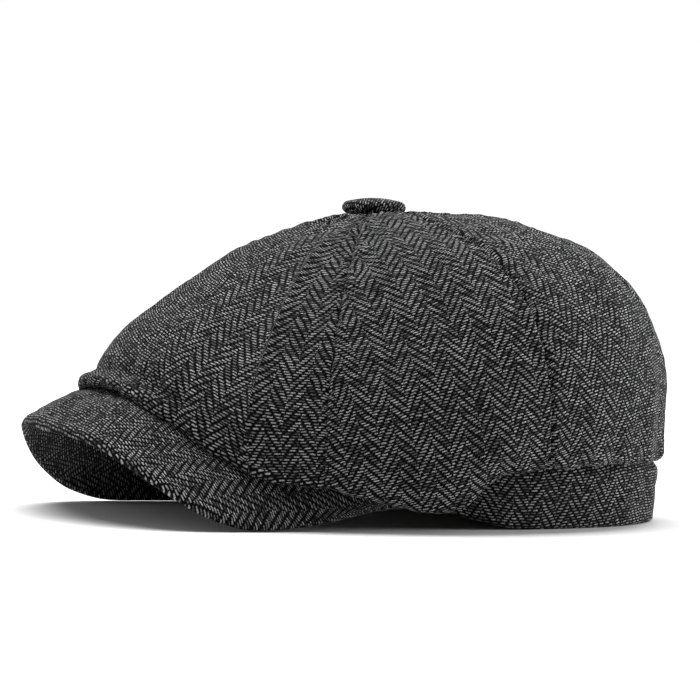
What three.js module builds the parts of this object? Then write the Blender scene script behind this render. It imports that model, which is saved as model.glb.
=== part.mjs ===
// Eight-panel newsboy cap in herringbone tweed, lying on a table as it does by itself.
// Millimetres, +Z up. The peak points to -Y and the wearer's left is +X.
// Angles are turned from the front, -Y, towards the wearer's left, +X.
import * as THREE from "three";

// Driving dimensions of the crown
const crownRadius = 124;
const crownHeight = 130;
const panelCount = 8;
const panelTwistDegrees = -6;
const panelPuff = 1.6;
const clothThickness = 2;
const hemRollRadius = 3.5;
const crownHoleRadius = 8;
const hemTuck = 0.5;
const buttonDimple = 3.2;
const dimpleSpread = 16;

// Driving dimensions of the head band
const headLength = 205;
const headWidth = 179;
const headSetBack = 19;
const bandThickness = 2.6;
const bandHeight = 30;
const bandLean = 2;
const frontLift = 47;

// Driving dimensions of the peak
const peakHalfWidth = 99;
const peakReach = 146;
const peakEdgeHeight = 36;
const peakThickness = 4;
const peakEdgeRound = 6;
const hornAngle = 82;

// Driving dimensions of the covered button on top
const buttonDiameter = 27;
const buttonHeight = 7;

// Clearances between pieces that are sewn together
const sewnGap = 0.3;
const hemClearance = 0.8;

// Mesh fineness
const panelColumns = 8;
const crownSteps = { dome: 12, wall: 2, corner: 3, under: 4 };
const bandSections = 72;
const peakSections = 40;
const peakSteps = 9;
const buttonSides = 24;

// The crown's profile at some angles from the front, the same on both sides.
// reach is a share of crownRadius; widest and hem are heights as shares of crownHeight;
// drawIn is a share of crownRadius; sewn is a height above the band's rim, of bandHeight.
// crest and flank say how full the dome is near the button and lower down.
const crownProfile = [
  { at: 0, reach: 1.005, widest: 0.42, hem: 0.385, drawIn: 0.0, sewn: 0.36, crest: 1.56, flank: 1.33 },
  { at: 30, reach: 1.0, widest: 0.375, hem: 0.3, drawIn: 0.01, sewn: 0.4, crest: 1.6, flank: 1.4 },
  { at: 60, reach: 0.995, widest: 0.28, hem: 0.145, drawIn: 0.025, sewn: 0.65, crest: 1.75, flank: 1.6 },
  { at: 86, reach: 1.005, widest: 0.25, hem: 0.06, drawIn: 0.04, sewn: 0.9, crest: 2.08, flank: 1.93 },
  { at: 97, reach: 1.01, widest: 0.285, hem: 0.172, drawIn: 0.03, sewn: 0.92, crest: 2.22, flank: 2.12 },
  { at: 115, reach: 1.015, widest: 0.34, hem: 0.208, drawIn: 0.02, sewn: 0.96, crest: 2.4, flank: 2.35 },
  { at: 140, reach: 1.01, widest: 0.37, hem: 0.205, drawIn: 0.004, sewn: 0.96, crest: 2.65, flank: 2.6 },
  { at: 180, reach: 1.02, widest: 0.37, hem: 0.195, drawIn: 0.008, sewn: 0.96, crest: 2.75, flank: 2.75 },
];

// Soft folds that run down the crown. height is a share of clothThickness;
// spread and angle are degrees; from and to are stages of the profile, 0 at the button, 1 at the widest.
const crownFolds = [
  { angle: 47, spread: 7, height: 1.5, from: 0.2, to: 1.3 },
  { angle: 76, spread: 4, height: 0.6, from: 0.1, to: 0.6 },
  { angle: -44, spread: 8, height: 1.2, from: 0.25, to: 1.3 },
  { angle: 140, spread: 9, height: 0.5, from: 0.4, to: 1.4 },
];

// How far the band's lower rim is lifted off the table, as a share of frontLift.
const rimLift = [
  { at: 0, lift: 1.0 },
  { at: 15, lift: 0.94 },
  { at: 30, lift: 0.78 },
  { at: 45, lift: 0.6 },
  { at: 60, lift: 0.41 },
  { at: 75, lift: 0.22 },
  { at: 89, lift: 0.07 },
  { at: 101, lift: 0.0 },
  { at: 180, lift: 0.0 },
];

// The peak's outer edge from its middle to one horn, the same on both sides.
// side is a share of peakHalfWidth, ahead of peakReach, height of peakEdgeHeight.
// roll says how late the peak turns down between the band and its edge.
const peakEdge = [
  { at: 0, side: 0.0, ahead: 1.0, height: 1.0, roll: 4.0 },
  { at: 1, side: 0.3, ahead: 0.984, height: 0.98, roll: 3.2 },
  { at: 2, side: 0.58, ahead: 0.937, height: 0.86, roll: 2.5 },
  { at: 3, side: 0.8, ahead: 0.864, height: 0.59, roll: 2.1 },
  { at: 4, side: 0.93, ahead: 0.785, height: 0.34, roll: 1.9 },
  { at: 5, side: 0.99, ahead: 0.7, height: 0.14, roll: 2.0 },
  { at: 6, side: 1.0, ahead: 0.575, height: 0.02, roll: 2.0 },
  { at: 7, side: 0.985, ahead: 0.388, height: 0.08, roll: 2.0 },
  { at: 8, side: 0.95, ahead: 0.21, height: 0.24, roll: 2.0 },
  { at: 9, side: 0.92, ahead: 0.05, height: 0.4, roll: 2.0 },
];

// Reads a column of a table between its rows along a smooth curve, level at both ends.
function readTable(rows, column, at) {
  const last = rows.length - 1;
  const place = THREE.MathUtils.clamp(at, rows[0].at, rows[last].at);
  let row = 0;
  while (row < last - 1 && place > rows[row + 1].at) row += 1;
  const slopeAt = (k) => {
    if (k === 0 || k === last) return 0;
    return (rows[k + 1][column] - rows[k - 1][column]) / (rows[k + 1].at - rows[k - 1].at);
  };
  const span = rows[row + 1].at - rows[row].at;
  const t = (place - rows[row].at) / span;
  const start = (1 + 2 * t) * (1 - t) ** 2 * rows[row][column];
  const end = t * t * (3 - 2 * t) * rows[row + 1][column];
  const startSlope = t * (1 - t) ** 2 * span * slopeAt(row);
  const endSlope = t * t * (t - 1) * span * slopeAt(row + 1);
  return start + end + startSlope + endSlope;
}

// Angle from the front in degrees, folded to 0..180, because both sides are alike.
function degreesFromFront(angle) {
  const turned = Math.abs(THREE.MathUtils.euclideanModulo(angle + Math.PI, 2 * Math.PI) - Math.PI);
  return THREE.MathUtils.radToDeg(turned);
}

// A point at a radius and angle about the button's axis.
function polarPoint(angle, radius, height) {
  return new THREE.Vector3(radius * Math.sin(angle), -radius * Math.cos(angle), height);
}

// Closes sections of equal point counts into one skin. In each section the second half of
// the points runs back under the first half, so an end is closed by joining the two halves.
function loft(sections, isRing) {
  const count = sections[0].length;
  const positions = sections.flat().flatMap((point) => [point.x, point.y, point.z]);
  const index = [];
  const spans = isRing ? sections.length : sections.length - 1;
  for (let i = 0; i < spans; i += 1) {
    const here = i * count;
    const next = ((i + 1) % sections.length) * count;
    for (let j = 0; j < count; j += 1) {
      const k = (j + 1) % count;
      index.push(here + j, next + j, next + k, here + j, next + k, here + k);
    }
  }
  if (!isRing) {
    const lastStart = (sections.length - 1) * count;
    for (let j = 0; j < count / 2 - 1; j += 1) {
      const back = count - 1 - j;
      index.push(j, j + 1, back - 1, j, back - 1, back);
      index.push(lastStart + j, lastStart + back - 1, lastStart + j + 1);
      index.push(lastStart + j, lastStart + back, lastStart + back - 1);
    }
  }
  const geometry = new THREE.BufferGeometry();
  geometry.setAttribute("position", new THREE.Float32BufferAttribute(positions, 3));
  geometry.setIndex(index);
  geometry.computeVertexNormals();
  return geometry;
}

// The head band: an oval ring whose rear rests flat and whose front is lifted by the peak.
const bandHalfWidth = headWidth / 2 + bandThickness;
const bandHalfLength = headLength / 2 + bandThickness;

function bandLift(angle) {
  return frontLift * Math.max(0, readTable(rimLift, "lift", degreesFromFront(angle)));
}

// A point of the band by its own oval angle, a share of its height and a distance
// outwards from its outer face. The band leans out towards its top.
function bandPoint(angle, share, outwards) {
  const grow = outwards - bandLean * (1 - share);
  const x = (bandHalfWidth + grow) * Math.sin(angle);
  const y = headSetBack - (bandHalfLength + grow) * Math.cos(angle);
  return new THREE.Vector3(x, y, bandLift(angle) + bandHeight * share);
}

function bandSection(angle) {
  const shares = [0, 0.5, 1];
  const outside = shares.map((share) => bandPoint(angle, share, 0));
  const inside = shares.map((share) => bandPoint(angle, share, -bandThickness)).reverse();
  return [...outside, ...inside];
}

function makeBand() {
  const sections = [];
  for (let i = 0; i < bandSections; i += 1) {
    sections.push(bandSection((2 * Math.PI * i) / bandSections));
  }
  return loft(sections, true);
}

// Where a ray from the button's axis leaves the band's outer face at a share of its height.
function bandCrossing(angle, share, outwards) {
  const grow = outwards - bandLean * (1 - share);
  const halfWidth = bandHalfWidth + grow;
  const halfLength = bandHalfLength + grow;
  const across = Math.sin(angle) / halfWidth;
  const along = -Math.cos(angle) / halfLength;
  const shift = headSetBack / halfLength;
  const square = across ** 2 + along ** 2;
  const radius = (along * shift + Math.sqrt(square - (across * shift) ** 2)) / square;
  const ovalAngle = Math.atan2(radius * across, shift - radius * along);
  return { radius, ovalAngle };
}

// The peak: a stiff covered sheet, arched from side to side, sewn to the band's lower rim.
const peakRows = peakEdge.length - 1;

function peakInner(place) {
  const angle = (THREE.MathUtils.degToRad(hornAngle) * place) / peakRows;
  const point = bandPoint(angle, peakThickness / bandHeight, sewnGap);
  point.z = bandLift(angle) + peakThickness / 2;
  return point;
}

function peakOuter(place) {
  const row = Math.abs(place);
  return new THREE.Vector3(
    Math.sign(place) * peakHalfWidth * readTable(peakEdge, "side", row),
    -peakReach * readTable(peakEdge, "ahead", row),
    peakEdgeHeight * readTable(peakEdge, "height", row),
  );
}

// The middle of the peak's thickness: place runs from horn to horn, out from rim to edge.
function peakMiddle(place, out) {
  const inner = peakInner(place);
  const outer = peakOuter(place);
  const point = inner.clone().lerp(outer, out);
  point.z = THREE.MathUtils.lerp(inner.z, outer.z, out ** readTable(peakEdge, "roll", Math.abs(place)));
  return point;
}

function peakNormal(place, out) {
  const step = 0.01;
  const low = Math.max(out - step, step);
  const across = peakMiddle(place + step, out).sub(peakMiddle(place - step, out));
  const ahead = peakMiddle(place, out + step).sub(peakMiddle(place, low));
  return ahead.cross(across).normalize();
}

// Half the peak's thickness, which rounds off near its outer edge.
function peakHalfThickness(place, out) {
  const width = peakInner(place).distanceTo(peakOuter(place));
  const intoRound = Math.max(0, 1 - ((1 - out) * width) / peakEdgeRound);
  return (peakThickness / 2) * Math.sqrt(Math.max(0.1, 1 - intoRound ** 2));
}

function peakSection(place) {
  const upper = [];
  const lower = [];
  for (let j = 0; j <= peakSteps; j += 1) {
    const out = Math.sin((Math.PI / 2) * (j / peakSteps));
    const normal = j === 0 ? new THREE.Vector3(0, 0, 1) : peakNormal(place, out);
    const offset = normal.multiplyScalar(peakHalfThickness(place, out));
    const middle = peakMiddle(place, out);
    upper.push(middle.clone().add(offset));
    lower.unshift(middle.clone().sub(offset));
  }
  const section = [...upper, ...lower];
  section.forEach((point) => {
    point.z = Math.max(0, point.z);
  });
  return section;
}

function makePeak() {
  const sections = [];
  for (let i = 0; i <= peakSections; i += 1) {
    sections.push(peakSection(peakRows * (1 - (2 * i) / peakSections)));
  }
  return loft(sections, false);
}

// Height of the peak's upper face under or over a point, or nothing clear of the peak.
function peakTopAt(x, y) {
  const sideways = (place) => {
    const inner = peakInner(place);
    const outer = peakOuter(place);
    return (outer.x - inner.x) * (y - inner.y) - (outer.y - inner.y) * (x - inner.x);
  };
  let low = -peakRows;
  let high = peakRows;
  if (sideways(low) * sideways(high) > 0) return -Infinity;
  while (high - low > 0.01) {
    const middle = (low + high) / 2;
    if (sideways(low) * sideways(middle) > 0) low = middle;
    else high = middle;
  }
  const inner = peakInner(low);
  const outer = peakOuter(low);
  const out = Math.hypot(x - inner.x, y - inner.y) / Math.hypot(outer.x - inner.x, outer.y - inner.y);
  if (out > 1 || y > inner.y) return -Infinity;
  return peakMiddle(low, out).z + peakThickness / 2 / peakNormal(low, out).z;
}

// How far the button pulls the top of the crown down.
function dimpleAt(radius) {
  return buttonDimple * Math.exp(-((radius / dimpleSpread) ** 2));
}

// The crown's profile as radius and height. stage 0..1 is the dome from the button to the
// widest line, 1..2 the wall, 2..3 the rolled hem and 3..4 the cloth turned under to the band.
function crownProfilePoint(angle, stage) {
  const column = (name) => readTable(crownProfile, name, degreesFromFront(angle));
  const sewnShare = column("sewn");
  const crossing = bandCrossing(angle, sewnShare, sewnGap);
  const least = crossing.radius + hemTuck + 1.05 * clothThickness;
  const widest = Math.max(crownRadius * column("reach"), least);
  const wallRadius = Math.max(widest - crownRadius * column("drawIn"), least);
  const widestHeight = crownHeight * column("widest");
  const hemHeight = crownHeight * column("hem");
  const roll = Math.min(hemRollRadius, wallRadius - crossing.radius - hemTuck);
  if (stage <= 1) {
    const start = Math.asin((crownHoleRadius / widest) ** (column("crest") / 2));
    const turn = THREE.MathUtils.lerp(start, Math.PI / 2, stage);
    const fullness = THREE.MathUtils.lerp(column("flank"), column("crest"), Math.cos(turn) ** 4);
    const radius = widest * Math.sin(turn) ** (2 / fullness);
    const rise = (crownHeight - widestHeight) * Math.max(0, Math.cos(turn)) ** (2 / fullness);
    return { radius, height: widestHeight + rise - dimpleAt(radius) };
  }
  if (stage <= 2) {
    const down = stage - 1;
    const radius = THREE.MathUtils.lerp(widest, wallRadius, down ** 2);
    const height = THREE.MathUtils.lerp(widestHeight, hemHeight + roll, down);
    return { radius, height };
  }
  if (stage <= 3) {
    const turn = (Math.PI / 2) * (stage - 2);
    const radius = wallRadius - roll * (1 - Math.cos(turn));
    return { radius, height: hemHeight + roll * (1 - Math.sin(turn)) };
  }
  const sewnHeight = bandLift(crossing.ovalAngle) + bandHeight * sewnShare;
  const inwards = stage - 3;
  const radius = THREE.MathUtils.lerp(wallRadius - roll, crossing.radius, inwards);
  return { radius, height: THREE.MathUtils.lerp(hemHeight, sewnHeight, inwards ** 1.5) };
}

// How far the cloth stands out from the plain profile: puffed panels and soft folds.
const panelAngle = (2 * Math.PI) / panelCount;
const panelTwist = THREE.MathUtils.degToRad(panelTwistDegrees);

function clothRelief(angle, stage) {
  const fade = Math.sin(Math.PI * THREE.MathUtils.clamp(stage / 2, 0, 1)) ** 0.6;
  const acrossPanel = (angle - panelTwist) / panelAngle;
  const fromMiddle = 2 * Math.abs(acrossPanel - Math.round(acrossPanel));
  let relief = panelPuff * (1 - fromMiddle ** 2) - panelPuff;
  crownFolds.forEach((fold) => {
    const away = degreesFromFront(angle - THREE.MathUtils.degToRad(fold.angle)) / fold.spread;
    const along = THREE.MathUtils.clamp((stage - fold.from) / (fold.to - fold.from), 0, 1);
    relief += clothThickness * fold.height * Math.exp(-(away ** 2)) * Math.sin(Math.PI * along) ** 0.7;
  });
  return relief * fade;
}

function reliefPoint(angle, stage) {
  const step = 0.01;
  const here = crownProfilePoint(angle, stage);
  const before = crownProfilePoint(angle, Math.max(0, stage - step));
  const after = crownProfilePoint(angle, Math.min(4, stage + step));
  const run = after.radius - before.radius;
  const fall = before.height - after.height;
  const relief = clothRelief(angle, stage) / Math.hypot(run, fall);
  return polarPoint(angle, here.radius + relief * fall, here.height + relief * run);
}

// The hem and the cloth turned under it lie on the peak where the peak is beneath them.
function crownPoint(angle, stage) {
  const point = reliefPoint(angle, stage);
  if (stage > 1) point.z = Math.max(point.z, peakTopAt(point.x, point.y) + hemClearance);
  return point;
}

// The way out of the cloth, kept in the upright plane through the button's axis.
function crownNormal(angle, stage) {
  const step = 0.01;
  const down = reliefPoint(angle, Math.min(stage + step, 4));
  down.sub(reliefPoint(angle, Math.max(stage - step, 0)));
  const run = down.x * Math.sin(angle) - down.y * Math.cos(angle);
  return polarPoint(angle, -down.z, run).normalize();
}

// The stages at which a panel is drawn, closer together round the rolled hem.
function crownStages() {
  const counts = [crownSteps.dome, crownSteps.wall, crownSteps.corner, crownSteps.under];
  const stages = [0];
  counts.forEach((count, part) => {
    for (let j = 1; j <= count; j += 1) stages.push(part + j / count);
  });
  return stages;
}

// One crown panel: a curved gore of cloth between two seams.
function makePanel(panelNumber) {
  const middleAngle = panelNumber * panelAngle + panelTwist;
  const stages = crownStages();
  const sections = [];
  for (let i = 0; i <= panelColumns; i += 1) {
    const sideways = 1 - (2 * i) / panelColumns;
    const outside = [];
    const inside = [];
    stages.forEach((stage) => {
      const { radius } = crownProfilePoint(middleAngle, stage);
      const halfAngle = panelAngle / 2 - sewnGap / 2 / radius;
      const angle = middleAngle + sideways * halfAngle;
      const point = crownPoint(angle, stage);
      outside.push(point);
      inside.unshift(point.clone().addScaledVector(crownNormal(angle, stage), -clothThickness));
    });
    sections.push([...outside, ...inside]);
  }
  return loft(sections, false);
}

// The button: a low disc with a rounded rim, covered in the same cloth.
function makeButton() {
  const radius = buttonDiameter / 2;
  const rimRadius = buttonHeight * 0.4;
  const outline = [new THREE.Vector2(0, 0), new THREE.Vector2(radius - rimRadius, 0)];
  for (let j = 1; j <= 6; j += 1) {
    const turn = (Math.PI * j) / 6 - Math.PI / 2;
    outline.push(new THREE.Vector2(
      radius - rimRadius + rimRadius * Math.cos(turn),
      rimRadius + rimRadius * Math.sin(turn),
    ));
  }
  outline.push(new THREE.Vector2(radius * 0.4, buttonHeight * 0.97));
  outline.push(new THREE.Vector2(0, buttonHeight));
  const geometry = new THREE.LatheGeometry(outline, buttonSides);
  geometry.rotateX(Math.PI / 2);
  return geometry;
}

// Materials: charcoal tweed with light grey flecks, a little darker inside the band.
function tweed(colour) {
  return new THREE.MeshStandardMaterial({ color: colour, roughness: 0.95, metalness: 0 });
}

const cap = new THREE.Group();

function addPiece(name, geometry, colour) {
  const piece = new THREE.Mesh(geometry, tweed(colour));
  piece.name = name;
  cap.add(piece);
  return piece;
}

const panelNames = [
  "panel_front",
  "panel_front_left",
  "panel_left",
  "panel_back_left",
  "panel_back",
  "panel_back_right",
  "panel_right",
  "panel_front_right",
];
panelNames.forEach((name, number) => addPiece(name, makePanel(number), "#3d3e3f"));
addPiece("band", makeBand(), "#3a3b3c");
addPiece("peak", makePeak(), "#3c3d3e");
const buttonSeat = crownHeight - dimpleAt(buttonDiameter * 0.4) + sewnGap;
addPiece("button", makeButton(), "#444647").position.z = buttonSeat;

// The origin is under the middle of the whole cap's box, on the table.
const box = new THREE.Box3().setFromObject(cap);
const middle = box.getCenter(new THREE.Vector3());
cap.position.set(-middle.x, -middle.y, -box.min.z);

export default cap;
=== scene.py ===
"""Looks of the eight-panel newsboy cap: charcoal herringbone tweed on a white table.

Shapes are worked out in millimetres about the button's axis, from the same sizes as the
CAD part, and moved into the shared frame in metres. The peak points to -Y.
"""

import math

import bpy
import numpy as np
from mathutils import Matrix, Vector
from mathutils.bvhtree import BVHTree


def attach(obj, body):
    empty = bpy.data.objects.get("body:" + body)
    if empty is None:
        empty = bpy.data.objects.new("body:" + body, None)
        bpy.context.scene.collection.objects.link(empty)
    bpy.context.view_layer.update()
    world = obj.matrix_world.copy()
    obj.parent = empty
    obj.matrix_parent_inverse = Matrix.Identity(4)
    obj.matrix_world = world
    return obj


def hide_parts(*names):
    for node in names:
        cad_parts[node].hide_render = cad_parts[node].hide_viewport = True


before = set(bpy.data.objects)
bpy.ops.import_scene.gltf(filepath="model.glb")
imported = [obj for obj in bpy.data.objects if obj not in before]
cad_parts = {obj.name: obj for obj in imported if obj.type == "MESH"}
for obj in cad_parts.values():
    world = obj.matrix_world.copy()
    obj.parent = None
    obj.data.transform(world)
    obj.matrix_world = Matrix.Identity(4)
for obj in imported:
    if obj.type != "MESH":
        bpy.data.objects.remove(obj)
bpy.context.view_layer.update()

MM = 0.001

# Where the button's axis stands in the shared frame, in millimetres
AXIS_TO_FRAME = np.array([0.024, 9.747, 0.0])

# Sizes of the crown, as in the CAD part
CROWN_RADIUS = 124
CROWN_HEIGHT = 130
PANEL_COUNT = 8
PANEL_ANGLE = 2 * math.pi / PANEL_COUNT
PANEL_TWIST = math.radians(-6)
PANEL_PUFF = 1.6
CLOTH_THICKNESS = 2
HEM_ROLL_RADIUS = 3.5
CROWN_HOLE_RADIUS = 8
HEM_TUCK = 0.5
HEM_TURN_ROOM = 1.05 * CLOTH_THICKNESS
BUTTON_DIMPLE = 3.2
DIMPLE_SPREAD = 16

# Sizes of the band, the peak and the button
HEAD_LENGTH = 205
HEAD_WIDTH = 179
HEAD_SET_BACK = 19
BAND_THICKNESS = 2.6
BAND_HEIGHT = 30
BAND_LEAN = 2
FRONT_LIFT = 47
PEAK_HALF_WIDTH = 99
PEAK_REACH = 146
PEAK_EDGE_HEIGHT = 36
PEAK_THICKNESS = 4
PEAK_EDGE_RADIUS = 3
HORN_ANGLE = math.radians(82)
BUTTON_DIAMETER = 27
BUTTON_HEIGHT = 7
SEWN_GAP = 0.3

# Over the peak the hem's inner face stays this far above the peak's top, and its outer face,
# which is turned down there, a little less.
HEM_CLEARANCE = 0.8
OUTER_CLEARANCE = HEM_CLEARANCE - 0.2

# The crown's section by the angle from the front, in degrees. It is the CAD part's but for the
# flank at 0 and the hem at 86, 97 and 180. reach and draw_in are shares of the crown's radius,
# widest and hem of its height and sewn of the band's height. crest and flank say how full the
# dome is at its top and at its side.
CROWN_PROFILE = [
    dict(at=0, reach=1.005, widest=0.42, hem=0.385, draw_in=0.0, sewn=0.36, crest=1.56, flank=1.24),
    dict(at=30, reach=1.0, widest=0.375, hem=0.3, draw_in=0.01, sewn=0.4, crest=1.6, flank=1.4),
    dict(at=60, reach=0.995, widest=0.28, hem=0.145, draw_in=0.025, sewn=0.65, crest=1.75, flank=1.6),
    dict(at=86, reach=1.005, widest=0.25, hem=0.07, draw_in=0.04, sewn=0.9, crest=2.08, flank=1.93),
    dict(at=97, reach=1.01, widest=0.285, hem=0.18, draw_in=0.03, sewn=0.92, crest=2.22, flank=2.12),
    dict(at=115, reach=1.015, widest=0.34, hem=0.208, draw_in=0.02, sewn=0.96, crest=2.4, flank=2.35),
    dict(at=140, reach=1.01, widest=0.37, hem=0.205, draw_in=0.004, sewn=0.96, crest=2.65, flank=2.6),
    dict(at=180, reach=1.02, widest=0.37, hem=0.203, draw_in=0.008, sewn=0.96, crest=2.75, flank=2.75),
]

# Soft folds that run down the crown: angle and spread in degrees, height in millimetres,
# start and end as stages of the profile. A share of each stands in its sharp crest.
CROWN_FOLDS = [
    dict(angle=47, spread=7, height=3.0, start=0.2, end=1.3),
    dict(angle=76, spread=4, height=1.2, start=0.1, end=0.6),
    dict(angle=-44, spread=8, height=2.4, start=0.25, end=1.3),
    dict(angle=140, spread=9, height=1.0, start=0.4, end=1.4),
]
CREST_SHARE = 0.4

# How far the band's rim is lifted, as a share of its lift in front, by the angle from the front
RIM_LIFT = [
    dict(at=0, lift=1.0),
    dict(at=15, lift=0.94),
    dict(at=30, lift=0.78),
    dict(at=45, lift=0.6),
    dict(at=60, lift=0.41),
    dict(at=75, lift=0.22),
    dict(at=89, lift=0.07),
    dict(at=101, lift=0.0),
    dict(at=180, lift=0.0),
]

# The peak's edge from its middle to the end of its horn: shares of its half width, its reach
# and its edge's height, and how late the sheet bends down on its way out there.
PEAK_EDGE = [
    dict(at=0, side=0.0, ahead=1.0, height=1.0, roll=4.2),
    dict(at=1, side=0.3, ahead=0.984, height=0.98, roll=3.3),
    dict(at=2, side=0.58, ahead=0.937, height=0.86, roll=2.5),
    dict(at=3, side=0.8, ahead=0.864, height=0.59, roll=2.1),
    dict(at=4, side=0.93, ahead=0.785, height=0.34, roll=1.9),
    dict(at=5, side=0.99, ahead=0.7, height=0.14, roll=2.0),
    dict(at=6, side=1.0, ahead=0.575, height=0.02, roll=2.0),
    dict(at=7, side=0.985, ahead=0.388, height=0.08, roll=2.0),
    dict(at=8, side=0.95, ahead=0.21, height=0.24, roll=2.0),
    dict(at=9, side=0.92, ahead=0.05, height=0.4, roll=2.0),
]
PEAK_ROWS = len(PEAK_EDGE) - 1

# How finely the peak is drawn
PEAK_LINES_ACROSS = 241
PEAK_LINES_AHEAD = 84

# In front the hem and the peak's inner end lie higher than in the CAD part: by all of this up
# to the first angle from the front, and by none of it beyond the second.
FRONT_RAISE = 4
FRONT_RAISE_FULL = 13
FRONT_RAISE_END = 32

# Beside the peak, on the side that the photograph shows, the hem hangs lower and further out.
SIDE_DROP = 3
SIDE_DROP_ANGLE = 46
SIDE_DROP_SPREAD = 13

# The crease and the hollow above the front hem end about these angles from the front. Behind,
# the hem is tucked in from the first angle on, and fully from the second.
CREASE_END = 42
HOLLOW_END = 30
TUCK_START = 100
TUCK_FULL = 135

# The peak's far front corner is raised, about this place along its edge, and its far side edge
# is settled towards the table by this share.
FAR_CORNER_RAISE = dict(height=2.4, at=-1.5, spread=1.2)
FAR_EDGE_SETTLE = 0.85

# Small forms of the cloth, in millimetres: the height, the distance from what the form lies
# along, and the spread. They lie along a seam, the button, the hem, the front fold or the
# peak's edge.
SEAM_GROOVE = dict(height=-0.65, at=0, spread=0.8)
SEAM_SHOULDER = dict(height=0.55, at=2.6, spread=1.8)
SEAM_PUCKER = dict(height=0.38, at=0, spread=6.5)
SEAM_TURN_IN = dict(height=0.3, at=0, spread=0.7)
BUTTON_GATHER = dict(height=0.6, at=16, spread=13)
HEM_PLEAT = dict(height=0.4, at=0, spread=15)
HEM_CREASE = dict(height=-3.4, at=11, spread=5.5)
HEM_SHARP_CREASE = dict(height=-0.6, at=13, spread=1.5)
HEM_HOLLOW = dict(height=-2.6, at=19, spread=13)
HEM_OVERHANG = dict(height=1, at=0, spread=16)
HEM_REAR_TUCK = dict(height=-0.6, at=0, spread=5)
FOLD_PINCH = dict(height=1.5, at=0, spread=1.7)
PEAK_EDGE_ROLL = dict(height=0.35, at=2.2, spread=1.8)
PEAK_EDGE_DIP = dict(height=-0.3, at=5.5, spread=1.5)

# Lengths of the puckers along a seam and of the two sets of pleats along the hem, and how many
# gathers of each of two kinds run out from the button
PUCKER_LENGTH = 7.5
PLEAT_LENGTH = 23
SMALL_PLEAT_LENGTH = 13
GATHER_COUNT = 24
SMALL_GATHER_COUNT = 37

# At the seam between the two front panels the cloth seems to run on: the seam is this much
# weaker about this angle.
HIDDEN_SEAM_SHARE = 0.8
HIDDEN_SEAM_ANGLE = 16.5
HIDDEN_SEAM_SPREAD = 14

# The band: how finely it is drawn, how round its edges are, how uneven its padding is and how
# far it stands out under the hem, beside and behind. Each pair of angles from the front says
# where a form begins and where it is full.
BAND_COLUMNS = 560
BAND_ROWS = 30
BAND_EDGE_ROUND = 1.1
BAND_PADDING = 0.35
BAND_UNEVEN = 0.3
BAND_SIDE_PUFF = 1.2
BAND_BACK_PUFF = 1.4
BAND_SIDE_ANGLES = (86, 96)
BAND_BACK_ANGLES = (100, 140)

# The button: how finely it is drawn, how much of its height its rounded rim takes, how much its
# middle stands above the rim, and the shallow lines that pull the rim in and out
BUTTON_COLUMNS = 96
BUTTON_ROWS = 40
BUTTON_RIM_SHARE = 0.42
BUTTON_DOME = 1.3
BUTTON_PULL = 0.12
BUTTON_PULL_COUNT = 19

# The weave: a two-and-two herringbone twill
PICK_SPACING = 1.15 * MM
END_SPACING = 0.86 * MM
ENDS_PER_COLUMN = 8

# How each panel's cloth is turned from its centreline, in degrees, and how finely it is drawn.
# On the folded panel the cloth is laid out from the fold line instead.
PANELS = [
    dict(name="panel_front", grain=13, columns=90),
    dict(name="panel_front_left", grain=0, columns=110, folded=True),
    dict(name="panel_left", grain=-9, columns=96),
    dict(name="panel_back_left", grain=-6, columns=90),
    dict(name="panel_back", grain=-5, columns=70),
    dict(name="panel_back_right", grain=8, columns=70),
    dict(name="panel_right", grain=10, columns=70),
    dict(name="panel_front_right", grain=-14, columns=70),
]

# The front cloth is turned by a fold: its line and its turn in degrees, how much more it is
# turned per millimetre upwards, how far down the cloth the fold ends, and how much the pull
# of the fold widens the cloth's columns.
FOLD_LINE = 47
FOLD_TURN = 20
FOLD_TWIST = 0.06
FOLD_FOOT = 150
FOLD_STRETCH = 1.25

# Cloth stretched over a rounded form bows: the rows bend by this much per millimetre squared.
PANEL_BOW = -0.0008
PEAK_BOW = 0.0018

# Beside a seam the weave is pulled to and fro: how far it reaches, and the size and length of
# its sway across and down the cloth.
SEAM_PULL_SPREAD = 9
SEAM_PULL_ACROSS = dict(size=0.7, length=17)
SEAM_PULL_DOWN = dict(size=0.35, length=13)

# The peak's cloth is pulled tight over its board: its weave is this much denser.
PEAK_WEAVE = 1.1

# How far the band's rows climb from its front to its back, and between which angles
BAND_DRIFT = 10
BAND_DRIFT_ANGLES = (75, 150)


def read_table(rows, column, at):
    """A column of a table between its rows along a smooth curve, level at both ends."""
    places = np.array([row["at"] for row in rows], float)
    values = np.array([row[column] for row in rows], float)
    slopes = np.zeros(len(rows))
    slopes[1:-1] = (values[2:] - values[:-2]) / (places[2:] - places[:-2])
    at = np.clip(at, places[0], places[-1])
    row = np.clip(np.searchsorted(places, at) - 1, 0, len(rows) - 2)
    span = places[row + 1] - places[row]
    t = (at - places[row]) / span
    start = (1 + 2 * t) * (1 - t) ** 2 * values[row]
    end = t * t * (3 - 2 * t) * values[row + 1]
    start_slope = t * (1 - t) ** 2 * span * slopes[row]
    end_slope = t * t * (t - 1) * span * slopes[row + 1]
    return start + end + start_slope + end_slope


def lerp(a, b, t):
    return a + (b - a) * t


def smooth_step(low, high, value):
    t = np.clip((value - low) / (high - low), 0, 1)
    return t * t * (3 - 2 * t)


def hump(value, middle, spread, power=2):
    """1 at the middle and fading out over the spread; a power of 4 has a flatter top."""
    return np.exp(-(((value - middle) / spread) ** power))


def form(shape, distance):
    """Height of one of the small forms at a distance from what it lies along."""
    return shape["height"] * hump(distance, shape["at"], shape["spread"])


def running_length(steps, axis):
    """How far along its line each point lies, from the steps between the points."""
    start = np.zeros_like(np.take(steps, [0], axis=axis))
    return np.concatenate([start, np.cumsum(steps, axis=axis)], axis=axis)


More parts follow.
